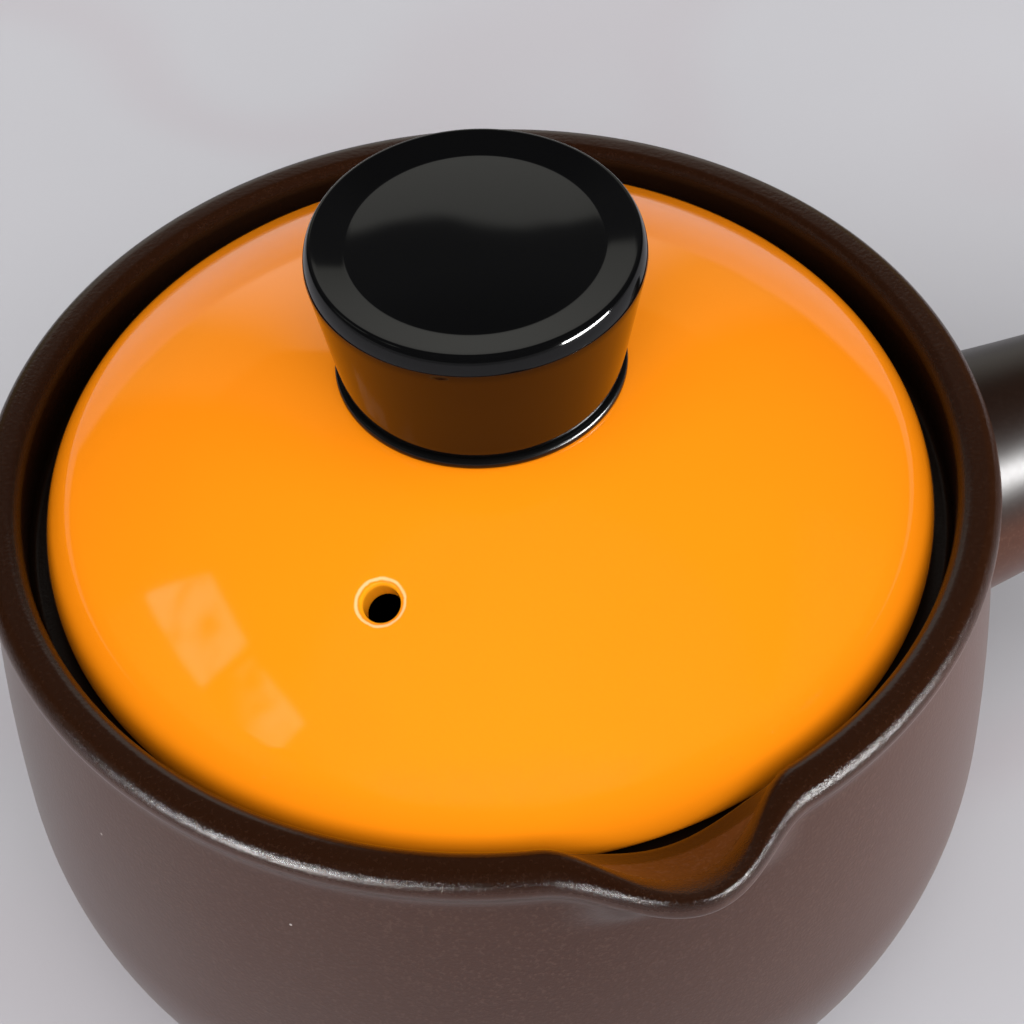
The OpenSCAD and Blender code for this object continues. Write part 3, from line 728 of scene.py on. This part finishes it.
def orange_glaze():
    """Glossy orange glaze with slow waves, paler where it thins in and round the steam vent; bare clay on the
    seat."""
    finish = new_finish("glossy_orange_glaze")
    height, radius = finish.heights()
    cloud = finish.noise(22.0, 2.0)
    from_centre = finish.vector("SUBTRACT", finish.place, (0, 0, DOME_CENTRE * MM))
    off_axis = finish.vector("CROSS_PRODUCT", from_centre.outputs[0], tuple(VENT_AXIS))
    away = Shade(finish.vector("LENGTH", off_axis.outputs[0]).outputs["Value"]) / MM
    from_hole = away - VENT_RADIUS + (finish.noise(900.0, 2.0) - 0.5) * 0.3
    thin = finish.step(from_hole, 0.50, 0.75) * finish.step(from_hole, 1.15, 0.90)
    seat = finish.step(height, LEDGE_TOP + 0.5, LEDGE_TOP + 0.15)
    seat = seat * finish.step(radius, SKIRT_RADIUS - 0.1, SKIRT_RADIUS + 0.2)
    colour = finish.mix(cloud, rgb(0.97, 0.254, 0.0045), rgb(0.99, 0.278, 0.0060))
    colour = finish.mix(finish.step(from_hole, 0.55, 0.15), colour, rgb(1.0, 0.42, 0.012))
    colour = finish.mix(thin * 0.6, colour, rgb(1.0, 0.70, 0.36))
    colour = finish.mix(seat, colour, rgb(0.62, 0.46, 0.30))
    roughness = 0.055 + 0.03 * cloud + 0.6 * seat
    peel = finish.bump(finish.noise(160.0, 1.0), 0.000010)
    normal = finish.bump(finish.noise(45.0, 1.0), 0.00004, peel)
    return finish.surface({"Base Color": colour, "Roughness": roughness, "Normal": normal, "IOR": 1.5})


def black_plastic(name, roughness):
    """Polished black moulding with faint polishing marks and dust."""
    finish = new_finish(name)
    wave = finish.noise(60.0, 2.0)
    dust = finish.specks(420.0, 0.07, 0.035)
    colour = finish.mix(dust * 0.35, rgb(0.0026, 0.0026, 0.0028), rgb(0.30, 0.30, 0.30))
    gloss = roughness + 0.03 * wave + 0.25 * dust
    normal = finish.bump(finish.noise(120.0, 1.0), 0.000010)
    return finish.surface({"Base Color": colour, "Roughness": gloss, "Normal": normal, "IOR": 1.34})


def turned_metal(name, pale, dark, roughness):
    """Turned metal: fine rings about the axis in colour and roughness."""
    finish = new_finish(name)
    height, radius = finish.heights()
    rings = finish.add("ShaderNodeTexNoise", {"noise_dimensions": "1D"}, {
        "W": radius + height * 0.7, "Scale": 6.0, "Detail": 2.0})
    ring = Shade(rings.outputs["Fac"])
    stain = finish.noise(180.0, 3.0)
    colour = finish.mix(ring * 0.5 + stain * 0.4, pale, dark)
    normal = finish.bump(ring, 0.00001)
    return finish.surface({
        "Base Color": colour, "Metallic": 1.0, "Roughness": roughness + 0.14 * ring, "Normal": normal})


def matt_silicone():
    """Matt translucent-white silicone with a faint bloom."""
    finish = new_finish("matt_silicone")
    bloom = finish.noise(500.0, 3.0)
    colour = finish.mix(bloom, rgb(0.66, 0.66, 0.63), rgb(0.78, 0.78, 0.75))
    normal = finish.bump(bloom, 0.00003)
    roughness = 0.5 + 0.15 * bloom
    return finish.surface({"Base Color": colour, "Roughness": roughness, "Normal": normal, "IOR": 1.41})


def pale_table():
    """Pale grey tabletop with faint soft veins."""
    finish = new_finish("pale_table")
    cloud = finish.noise(5.0, 3.0)
    vein = finish.step((finish.noise(3.2, 2.0) - 0.5).size(), 0.035, 0.0)
    colour = finish.mix(cloud, rgb(0.472, 0.466, 0.494), rgb(0.516, 0.510, 0.540))
    colour = finish.mix(vein * 0.25, colour, rgb(0.45, 0.385, 0.415))
    return finish.surface({"Base Color": colour, "Roughness": 0.55 + 0.1 * cloud, "IOR": 1.4})


# Pieces

brown = brown_glaze()
orange = orange_glaze()
black = black_plastic("polished_black", 0.06)
black_ring = black_plastic("black_ring", 0.22)
brass = turned_metal("turned_brass", rgb(0.80, 0.60, 0.26), rgb(0.60, 0.42, 0.16), 0.28)
steel = turned_metal("plain_steel", rgb(0.64, 0.64, 0.65), rgb(0.46, 0.46, 0.48), 0.24)
silicone = matt_silicone()

PIECES = (
    ("pot_shell", pot_grid(), False, brown, "pot", "pot_body", "brown_clay"),
    ("handle_shell", handle_grid(), True, brown, "pot", "handle", "brown_clay"),
    ("lid_shell", lid_grid(), True, orange, "lid", "lid", "orange_glaze"),
    ("knob_cap", turned(knob_profile(), 256), False, black, "lid", "knob", "black_plastic"),
    ("seat_ring", turned(flat_ring(RING_RADIUS, RING_RADIUS - RING_WIDTH, LAND_TOP, RING_TOP, 0.7), 256),
     True, black_ring, "seat_ring", "knob_seat_ring", "black_plastic"),
    ("thread_insert", turned(insert_profile(), 96), True, brass, "lid", "knob_insert", "insert_brass"),
    ("screw", screw_grid(), False, steel, "lid", "knob_screw", "screw_steel"),
    ("washer", turned(flat_ring(WASHER_RADIUS, SCREW_HOLE, WASHER_BOTTOM, GASKET_BOTTOM, 0.25), 128),
     True, steel, "lid", "screw_washer", "screw_steel"),
    ("gasket", turned(flat_ring(GASKET_RADIUS, SCREW_HOLE, GASKET_BOTTOM, PAD_BOTTOM, 0.35), 128),
     True, silicone, "lid", "screw_gasket", "gasket_silicone"),
)
for name, grid, ring, material, body, node, slot in PIECES:
    piece = make_piece(name, grid, ring)
    piece.data.materials.append(material)
    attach(piece, body)
    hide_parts(node)


# Table, light and camera

# Radii of the table's rings, and how far its top lies below the foot
TABLE_RINGS = (300.0, 800.0, 2000.0, 5000.0, 12000.0)
TABLE_DROP = 0.2

# Each lamp's name, azimuth and elevation in degrees, distance, width and height in metres, radiance, the kind
# of ray that doesn't see it, and the pieces it lights if not all
LAMPS = (
    ("left_fill", (175, 28), 1.5, (1.4, 0.6), 2.6, "glossy", ()),
    ("front_fill", (-108, 42), 1.5, (1.4, 0.7), 3.2, "glossy", ()),
    ("right_fill", (-25, 28), 1.5, (1.4, 0.6), 3.0, "glossy", ()),
    ("left_wall_fill", (175, 6), 1.5, (1.4, 0.34), 7.0, "glossy", ("pot_shell", "handle_shell")),
    ("right_wall_fill", (-8, 6), 1.5, (1.4, 0.34), 33.0, "glossy", ("pot_shell", "handle_shell")),
    ("right_strip", (-50, 12), 1.0, (0.50, 0.07), 250.0, "diffuse", ("pot_shell",)),
    ("left_strip", (-150, 12), 1.0, (0.50, 0.07), 250.0, "diffuse", ("pot_shell",)),
    ("ring_lamp", (-32, 22), 1.0, (0.45, 0.16), 260.0, "diffuse", ("seat_ring",)),
    ("knob_strip", (-43, 3), 1.0, (0.60, 0.10), 130.0, "diffuse", ("knob_cap", "seat_ring")),
    ("handle_fill", (-80, 1), 1.5, (0.8, 0.2), 30.0, "glossy", ("handle_shell",)),
    ("handle_lamp", (-50, 27), 1.0, (0.26, 0.26), 140.0, "diffuse", ("handle_shell",)),
)
MAIN_LIGHT = (-97, 62)
MAIN_LIGHT_ANGLE = 80.0
MAIN_LIGHT_RADIANCE = 0.76

# Middle of the backdrop, and the corners of each window pane, as azimuth and elevation in degrees, with the
# fade of the pane's last side
BACKDROP = (76, 0)
PANES = (
    (((145.7, 29.6), (145.8, 42.1), (166.2, 48.1), (169.3, 38.4)), 0.012),
    (((170.0, 42.5), (169.0, 48.5), (-167.5, 50.5), (-168.0, 36.0)), 0.13),
)

# Camera: distance from the middle of the rim, shift across and up, angles, and the focal length as a share of
# the picture's width
CAMERA_DISTANCE = 407.32
CAMERA_SHIFT = (3.457, -8.940)
CAMERA_ELEVATION = math.radians(48.60)
CAMERA_TURN = math.radians(18.5)
CAMERA_ROLL = math.radians(-2.829)
FOCAL_SHARE = 2600 / 1024
SENSOR_WIDTH = 36.0


def make_table():
    """Large flat disc under the pot, as rings of a polar grid."""
    rings, columns = len(TABLE_RINGS), 96
    points = turned(np.stack([TABLE_RINGS, np.full(rings, -TABLE_DROP)], 1), columns)
    middle = np.array([[0, 0, -TABLE_DROP]])
    index = np.arange(columns * rings).reshape(columns, rings)
    beside = np.roll(index, -1, 0)
    quads = np.stack([index[:, :-1], index[:, 1:], beside[:, 1:], beside[:, :-1]], -1).reshape(-1, 4)
    fan = np.stack([np.full(columns, columns * rings), index[:, 0], beside[:, 0]], -1)
    mesh = bpy.data.meshes.new("table")
    mesh.from_pydata((np.concatenate([points.reshape(-1, 3), middle]) * MM).tolist(), [],
                     quads.tolist() + fan.tolist())
    mesh.materials.append(pale_table())
    table = bpy.data.objects.new("table", mesh)
    bpy.context.scene.collection.objects.link(table)


def direction(azimuth, elevation):
    """Unit vector towards an azimuth, from +X to +Y, and an elevation, in degrees."""
    a, e = math.radians(azimuth), math.radians(elevation)
    return Vector((math.cos(e) * math.cos(a), math.cos(e) * math.sin(a), math.sin(e)))


def hang(lamp, towards):
    """Object of a lamp that shines from a direction."""
    hung = bpy.data.objects.new(lamp.name, lamp)
    hung.rotation_mode = "QUATERNION"
    hung.rotation_quaternion = direction(*towards).to_track_quat("Z", "Y")
    bpy.context.scene.collection.objects.link(hung)
    return hung


def make_light():
    """A broad soft light overhead, and rectangular lamps that face the lid: fills that make no highlights,
    and strips that make nothing else. A lamp's power is pi times its area times its radiance."""
    main = bpy.data.lights.new("main_light", "SUN")
    main.angle = math.radians(MAIN_LIGHT_ANGLE)
    main.energy = math.pi * MAIN_LIGHT_RADIANCE
    hang(main, MAIN_LIGHT).visible_glossy = False
    for name, towards, distance, (width, height), radiance, unseen, pieces in LAMPS:
        lamp = bpy.data.lights.new(name, "AREA")
        lamp.shape = "RECTANGLE"
        lamp.size, lamp.size_y = width, height
        lamp.energy = math.pi * width * height * radiance
        box = hang(lamp, towards)
        box.location = Vector((0, 0, 0.1)) + distance * direction(*towards)
        box.visible_camera = False
        setattr(box, "visible_" + unseen, False)
        if pieces:
            lit = bpy.data.collections.new(name + "_lit")
            for piece in pieces:
                lit.objects.link(bpy.data.objects[piece])
            box.light_linking.receiver_collection = lit


def pane(sky, corners, fade):
    """Share of a window pane in the sky: the product of soft steps over the planes through its four sides,
    the last of which fades in over a given distance."""
    points = [direction(*corner) for corner in corners]
    middle = sum(points, Vector())
    share = sky.step(sky.noise(9.0, 2.0), 0.2, 0.6)
    for here, beyond, width in zip(points, points[1:] + points[:1], (0.012, 0.012, 0.012, fade)):
        side = here.cross(beyond).normalized()
        side = side if side.dot(middle) > 0 else -side
        inside = sky.vector("DOT_PRODUCT", sky.place, tuple(side))
        share = share * sky.step(Shade(inside.outputs["Value"]), -0.006, width)
    return share


def make_world():
    """Dark room with a pale backdrop behind the pot, grey along the horizon, and a window in two panes on the
    left."""
    world = bpy.data.worlds.new("studio")
    bpy.context.scene.world = world
    sky = Finish(world, "Generated")
    up = Shade(sky.add("ShaderNodeSeparateXYZ", {}, {"Vector": sky.place}).outputs["Z"])
    back = Shade(sky.vector("DOT_PRODUCT", sky.place, tuple(direction(*BACKDROP))).outputs["Value"])
    facing = back / (1 - up * up).root()
    behind = sky.step(facing, 0.79, 0.85)
    middle = sky.step(facing, 0.90, 0.975)
    edge = 0.44 + 0.20 * middle + (sky.noise(3.5, 2.0) - 0.5) * 0.14
    dark = rgb(0.02, 0.02, 0.02)
    pale = sky.mix(middle, rgb(0.21, 0.235, 0.13), rgb(0.95, 0.94, 0.87))
    pale = sky.mix(sky.step(up - edge, -0.010, 0.014), pale, rgb(0.08, 0.079, 0.08))
    pale = sky.mix(sky.step(up, 0.72, 0.84), pale, dark)
    colour = sky.mix(behind, dark, pale)
    colour = sky.mix(sky.step(up, 0.06, 0.03), colour, rgb(0.36, 0.36, 0.365))
    for corners, fade in PANES:
        colour = sky.mix(pane(sky, corners, fade), colour, rgb(1.50, 1.52, 1.35))
    background = sky.add("ShaderNodeBackground", {}, {"Color": colour, "Strength": 1.0})
    sky.add("ShaderNodeOutputWorld", {}, {"Surface": background.outputs[0]})


def make_camera():
    """Camera that looks down at the rim from the front, a little rolled."""
    forward = np.array([0, math.cos(CAMERA_ELEVATION), -math.sin(CAMERA_ELEVATION)])
    right = np.array([1.0, 0, 0])
    upward = np.cross(right, forward)
    place = CAMERA_SHIFT[0] * right + CAMERA_SHIFT[1] * upward - CAMERA_DISTANCE * forward
    across = math.cos(CAMERA_ROLL) * right + math.sin(CAMERA_ROLL) * upward
    along = -math.sin(CAMERA_ROLL) * right + math.cos(CAMERA_ROLL) * upward
    cosine, sine = math.cos(CAMERA_TURN), math.sin(CAMERA_TURN)
    turn = np.array([[cosine, sine, 0], [-sine, cosine, 0], [0, 0, 1]])
    place = turn @ place + np.array([0, 0, POT_HEIGHT])
    camera_axes = np.stack([turn @ across, turn @ along, turn @ -forward], 1)
    lens = bpy.data.cameras.new("camera")
    lens.sensor_width = SENSOR_WIDTH
    lens.lens = FOCAL_SHARE * SENSOR_WIDTH
    lens.clip_start, lens.clip_end = 0.01, 100.0
    camera = bpy.data.objects.new("camera", lens)
    camera.matrix_world = Matrix.Translation(Vector(place * MM)) @ Matrix(camera_axes.tolist()).to_4x4()
    bpy.context.scene.collection.objects.link(camera)
    bpy.context.scene.camera = camera


make_table()
make_light()
make_world()
make_camera()
bpy.context.scene.view_settings.view_transform = "Standard"
